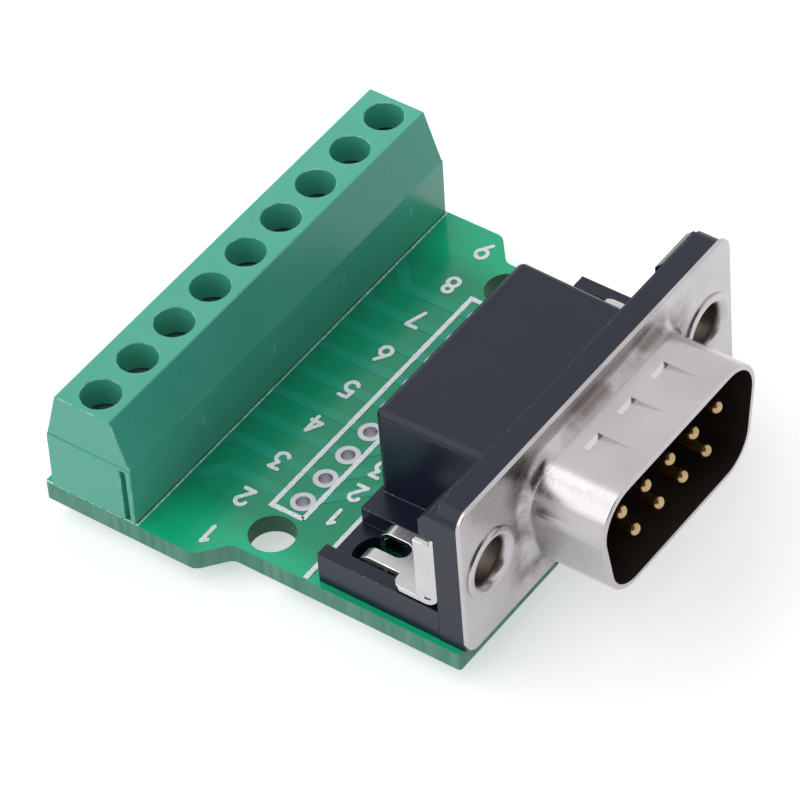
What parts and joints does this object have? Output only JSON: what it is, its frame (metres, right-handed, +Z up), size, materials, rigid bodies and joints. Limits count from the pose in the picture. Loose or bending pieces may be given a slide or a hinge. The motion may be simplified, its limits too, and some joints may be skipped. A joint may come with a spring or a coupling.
{
  "type": "d-sub terminal block adapter",
  "caption": "Adapter board with a right-angle male D-sub connector at one end, a screw terminal block at the other and a row of header holes between.",
  "frame": {"origin": "underside of the board, midway between its two mounting holes", "axes": "+X along the connector, with contact 1 and terminal 1 towards -X; +Y from the D-sub towards the terminal block; +Z up out of the board"},
  "size_m": [0.0359, 0.0391, 0.0154],
  "materials": {
    "board_laminate": "green solder mask over glass laminate",
    "terminal_plastic": "moulded green plastic",
    "nickel_plate": "nickel-plated pressed steel",
    "connector_plastic": "moulded black plastic",
    "tinned_steel": "tin-plated stamped steel",
    "plated_copper": "tinned copper pads and barrels",
    "solder": "soldered tin",
    "tinned_brass": "tin-plated brass",
    "gold_plated_brass": "gold-plated brass",
    "zinc_steel": "zinc-plated steel",
    "clamp_steel": "nickel-plated steel"
  },
  "bodies": {
    "adapter": {"circuit_board": "board_laminate", "terminal_housing": "terminal_plastic", "dsub_shell": "nickel_plate", "dsub_housing": "connector_plastic", "board_lock_left": "tinned_steel", "board_lock_right": "tinned_steel", "flange_rivet_left": "nickel_plate", "flange_rivet_right": "nickel_plate", "header_plated_holes": "plated_copper", "terminal_solder_joints": "solder", "contact_solder_joints": "solder", "board_lock_solder_joints": "solder", "terminal_pin_1": "tinned_brass", "terminal_pin_2": "tinned_brass", "terminal_pin_3": "tinned_brass", "terminal_pin_4": "tinned_brass", "terminal_pin_5": "tinned_brass", "terminal_pin_6": "tinned_brass", "terminal_pin_7": "tinned_brass", "terminal_pin_8": "tinned_brass", "terminal_pin_9": "tinned_brass", "dsub_contact_1": "gold_plated_brass", "dsub_contact_2": "gold_plated_brass", "dsub_contact_3": "gold_plated_brass", "dsub_contact_4": "gold_plated_brass", "dsub_contact_5": "gold_plated_brass", "dsub_contact_6": "gold_plated_brass", "dsub_contact_7": "gold_plated_brass", "dsub_contact_8": "gold_plated_brass", "dsub_contact_9": "gold_plated_brass"},
    "screw_1": {"terminal_screw_1": "zinc_steel"},
    "clamp_1": {"wire_clamp_1": "clamp_steel"},
    "screw_2": {"terminal_screw_2": "zinc_steel"},
    "clamp_2": {"wire_clamp_2": "clamp_steel"},
    "screw_3": {"terminal_screw_3": "zinc_steel"},
    "clamp_3": {"wire_clamp_3": "clamp_steel"},
    "screw_4": {"terminal_screw_4": "zinc_steel"},
    "clamp_4": {"wire_clamp_4": "clamp_steel"},
    "screw_5": {"terminal_screw_5": "zinc_steel"},
    "clamp_5": {"wire_clamp_5": "clamp_steel"},
    "screw_6": {"terminal_screw_6": "zinc_steel"},
    "clamp_6": {"wire_clamp_6": "clamp_steel"},
    "screw_7": {"terminal_screw_7": "zinc_steel"},
    "clamp_7": {"wire_clamp_7": "clamp_steel"},
    "screw_8": {"terminal_screw_8": "zinc_steel"},
    "clamp_8": {"wire_clamp_8": "clamp_steel"},
    "screw_9": {"terminal_screw_9": "zinc_steel"},
    "clamp_9": {"wire_clamp_9": "clamp_steel"}
  },
  "joints": [
    {"name": "screw_1_turn", "type": "hinge", "parent": "adapter", "child": "screw_1", "pos_m": [-0.01584, 0.01141, 0.0075], "axis": [0, 0, -1], "range_deg": [0, 1121]},
    {"name": "clamp_1_lift", "type": "slide", "parent": "adapter", "child": "clamp_1", "axis": [0, 0, 1], "range_m": [0, 0.0014]},
    {"name": "screw_2_turn", "type": "hinge", "parent": "adapter", "child": "screw_2", "pos_m": [-0.01188, 0.01141, 0.0075], "axis": [0, 0, -1], "range_deg": [0, 1121]},
    {"name": "clamp_2_lift", "type": "slide", "parent": "adapter", "child": "clamp_2", "axis": [0, 0, 1], "range_m": [0, 0.0014]},
    {"name": "screw_3_turn", "type": "hinge", "parent": "adapter", "child": "screw_3", "pos_m": [-0.00792, 0.01141, 0.0075], "axis": [0, 0, -1], "range_deg": [0, 1121]},
    {"name": "clamp_3_lift", "type": "slide", "parent": "adapter", "child": "clamp_3", "axis": [0, 0, 1], "range_m": [0, 0.0014]},
    {"name": "screw_4_turn", "type": "hinge", "parent": "adapter", "child": "screw_4", "pos_m": [-0.00396, 0.01141, 0.0075], "axis": [0, 0, -1], "range_deg": [0, 1121]},
    {"name": "clamp_4_lift", "type": "slide", "parent": "adapter", "child": "clamp_4", "axis": [0, 0, 1], "range_m": [0, 0.0014]},
    {"name": "screw_5_turn", "type": "hinge", "parent": "adapter", "child": "screw_5", "pos_m": [0, 0.01141, 0.0075], "axis": [0, 0, -1], "range_deg": [0, 1121]},
    {"name": "clamp_5_lift", "type": "slide", "parent": "adapter", "child": "clamp_5", "axis": [0, 0, 1], "range_m": [0, 0.0014]},
    {"name": "screw_6_turn", "type": "hinge", "parent": "adapter", "child": "screw_6", "pos_m": [0.00396, 0.01141, 0.0075], "axis": [0, 0, -1], "range_deg": [0, 1121]},
    {"name": "clamp_6_lift", "type": "slide", "parent": "adapter", "child": "clamp_6", "axis": [0, 0, 1], "range_m": [0, 0.0014]},
    {"name": "screw_7_turn", "type": "hinge", "parent": "adapter", "child": "screw_7", "pos_m": [0.00792, 0.01141, 0.0075], "axis": [0, 0, -1], "range_deg": [0, 1121]},
    {"name": "clamp_7_lift", "type": "slide", "parent": "adapter", "child": "clamp_7", "axis": [0, 0, 1], "range_m": [0, 0.0014]},
    {"name": "screw_8_turn", "type": "hinge", "parent": "adapter", "child": "screw_8", "pos_m": [0.01188, 0.01141, 0.0075], "axis": [0, 0, -1], "range_deg": [0, 1121]},
    {"name": "clamp_8_lift", "type": "slide", "parent": "adapter", "child": "clamp_8", "axis": [0, 0, 1], "range_m": [0, 0.0014]},
    {"name": "screw_9_turn", "type": "hinge", "parent": "adapter", "child": "screw_9", "pos_m": [0.01584, 0.01141, 0.0075], "axis": [0, 0, -1], "range_deg": [0, 1121]},
    {"name": "clamp_9_lift", "type": "slide", "parent": "adapter", "child": "clamp_9", "axis": [0, 0, 1], "range_m": [0, 0.0014]}
  ],
  "couplings": [
    {"joint": "screw_1_turn", "follows": "clamp_1_lift", "rad_per_m": 13963},
    {"joint": "screw_2_turn", "follows": "clamp_2_lift", "rad_per_m": 13963},
    {"joint": "screw_3_turn", "follows": "clamp_3_lift", "rad_per_m": 13963},
    {"joint": "screw_4_turn", "follows": "clamp_4_lift", "rad_per_m": 13963},
    {"joint": "screw_5_turn", "follows": "clamp_5_lift", "rad_per_m": 13963},
    {"joint": "screw_6_turn", "follows": "clamp_6_lift", "rad_per_m": 13963},
    {"joint": "screw_7_turn", "follows": "clamp_7_lift", "rad_per_m": 13963},
    {"joint": "screw_8_turn", "follows": "clamp_8_lift", "rad_per_m": 13963},
    {"joint": "screw_9_turn", "follows": "clamp_9_lift", "rad_per_m": 13963}
  ]
}
